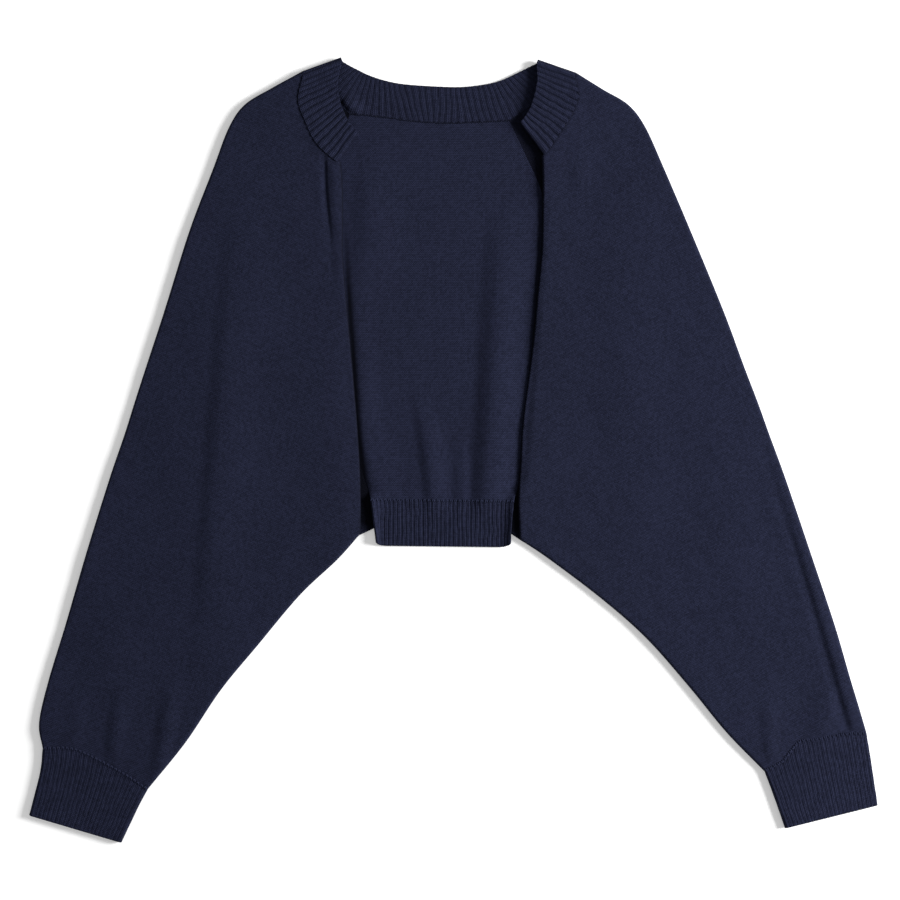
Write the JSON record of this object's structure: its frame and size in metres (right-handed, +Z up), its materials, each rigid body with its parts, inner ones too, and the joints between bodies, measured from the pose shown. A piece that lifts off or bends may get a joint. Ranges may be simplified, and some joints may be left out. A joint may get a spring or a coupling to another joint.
{
  "type": "cardigan",
  "caption": "Cropped open-front knitted cardigan with batwing sleeves cut in one with the fronts, ribbed neckband, back hem band and cuffs, laid flat.",
  "frame": {"origin": "centre of the garment's outline on the surface that it lies on", "axes": "+X across the sleeves to the right of the picture, +Y from the hem to the neck, +Z up off the surface"},
  "size_m": [0.8056, 0.746, 0.0089],
  "materials": {
    "stockinette_knit": "matte navy stockinette knit",
    "rib_knit": "matte navy rib knit"
  },
  "bodies": {
    "root": {"back_panel": "stockinette_knit", "left_sleeve": "stockinette_knit", "right_sleeve": "stockinette_knit", "neckband": "rib_knit", "hem_band": "rib_knit", "left_cuff": "rib_knit", "right_cuff": "rib_knit"}
  },
  "joints": []
}
